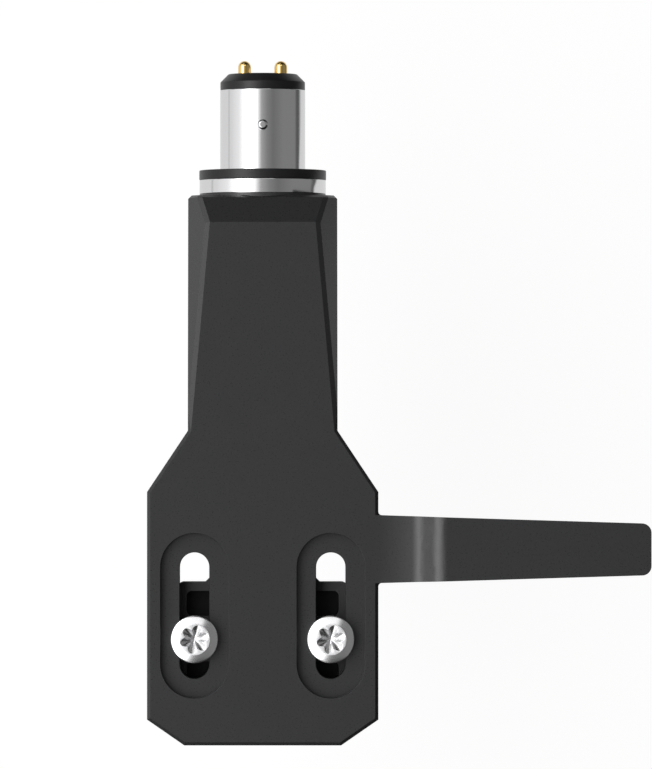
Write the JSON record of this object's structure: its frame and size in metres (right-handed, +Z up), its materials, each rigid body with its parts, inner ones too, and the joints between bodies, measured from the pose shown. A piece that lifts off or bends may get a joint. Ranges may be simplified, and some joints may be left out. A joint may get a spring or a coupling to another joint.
{
  "type": "turntable headshell with stylus cartridge",
  "caption": "Turntable headshell with a bayonet plug, slotted plate and finger lift, carrying a moving-magnet stylus cartridge on two screws",
  "frame": {"origin": "on the bayonet barrel's axis, at the rear face of the gasket that the tonearm socket seats on", "axes": "+Y along the barrel towards the tonearm, +X towards the finger lift, +Z up, away from the record"},
  "size_m": [0.0469, 0.0641, 0.0217],
  "materials": {
    "headshell": "matte black coating on a light alloy casting",
    "plated_metal": "polished plate over brass",
    "gasket": "matte black rubber",
    "contact_cap": "black moulded insulator",
    "gold_contact": "gold plated",
    "clip": "gold-plated crimp",
    "white_insulation": "soft insulation",
    "red_insulation": "soft insulation",
    "blue_insulation": "soft insulation",
    "green_insulation": "soft insulation",
    "screw": "bright plated steel",
    "housing": "black moulded plastic",
    "terminal_block": "black moulded plastic",
    "coil": "enamelled copper on a bobbin",
    "pole_piece": "soft iron lamination",
    "stylus_holder": "black moulded plastic",
    "stylus_tube": "plain",
    "brass": "plain",
    "wire": "drawn",
    "damper": "soft rubber",
    "cantilever": "drawn tube",
    "magnet": "sintered",
    "diamond": "ground"
  },
  "bodies": {
    "headshell": {"headshell": "headshell", "bayonet_barrel": "plated_metal", "locating_peg": "plated_metal", "gasket": "gasket", "contact_cap": "contact_cap", "contact_pin_1": "gold_contact", "contact_pin_2": "gold_contact", "contact_pin_3": "gold_contact", "contact_pin_4": "gold_contact", "headshell_clip_1": "clip", "headshell_clip_2": "clip", "headshell_clip_3": "clip", "headshell_clip_4": "clip", "lead_white": "white_insulation", "lead_red": "red_insulation", "lead_blue": "blue_insulation", "lead_green": "green_insulation"},
    "cartridge": {"mounting_screw_left": "screw", "mounting_screw_right": "screw", "cartridge_housing": "housing", "terminal_block": "terminal_block", "terminal_pin_1": "gold_contact", "terminal_pin_2": "gold_contact", "terminal_pin_3": "gold_contact", "terminal_pin_4": "gold_contact", "cartridge_clip_1": "clip", "cartridge_clip_2": "clip", "cartridge_clip_3": "clip", "cartridge_clip_4": "clip", "coil_left": "coil", "coil_right": "coil", "pole_piece_left": "pole_piece", "pole_piece_right": "pole_piece"},
    "stylus": {"stylus_holder": "stylus_holder", "stylus_tube": "stylus_tube", "suspension_block": "brass", "suspension_wire": "wire"},
    "damper": {"damper": "damper"},
    "cantilever": {"pivot_sleeve": "cantilever", "magnet": "magnet", "cantilever": "cantilever", "stylus_tip": "diamond"}
  },
  "joints": [
    {"name": "overhang_slide", "type": "slide", "parent": "headshell", "child": "cartridge", "axis": [0, 1, 0], "range_m": [-0.0024, 0.0068], "deforming": ["lead_white", "lead_red", "lead_blue", "lead_green"]},
    {"name": "stylus_slide", "type": "slide", "parent": "cartridge", "child": "stylus", "axis": [0, -1, 0], "range_m": [0, 0.008]},
    {"name": "stylus_lift", "type": "hinge", "parent": "stylus", "child": "damper", "pos_m": [0, -0.04691, -0.00918], "axis": [-1, 0, 0], "range_deg": [-3, 5], "stiffness_Nm_per_rad": 0.0024, "deforming": ["suspension_wire"]},
    {"name": "stylus_swing", "type": "hinge", "parent": "damper", "child": "cantilever", "pos_m": [0, -0.04691, -0.00918], "axis": [0, -0.3746, 0.9272], "range_deg": [-4, 4], "stiffness_Nm_per_rad": 0.0024, "deforming": ["suspension_wire"]}
  ]
}
